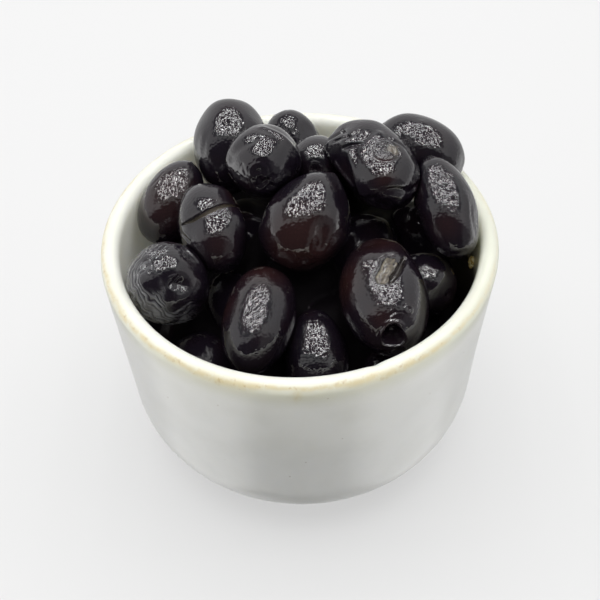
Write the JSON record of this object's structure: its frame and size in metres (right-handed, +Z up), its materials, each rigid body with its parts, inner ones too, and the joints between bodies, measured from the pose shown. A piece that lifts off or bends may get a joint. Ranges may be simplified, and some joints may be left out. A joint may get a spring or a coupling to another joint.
{
  "type": "dish of olives",
  "caption": "Small round off-white glazed stoneware dish with nearly straight walls, filled and heaped above its rim with whole glossy black table olives.",
  "frame": {"origin": "centre of the dish's foot, on the surface that it stands on", "axes": "+Z up along the dish's axis, -Y towards the side with the pitted olive, +X to the right seen from that side"},
  "size_m": [0.09, 0.09, 0.079],
  "materials": {
    "glaze": "gloss",
    "olive_skin": "gloss"
  },
  "bodies": {
    "root": {"dish": "glaze", "olives": "olive_skin"}
  },
  "joints": []
}
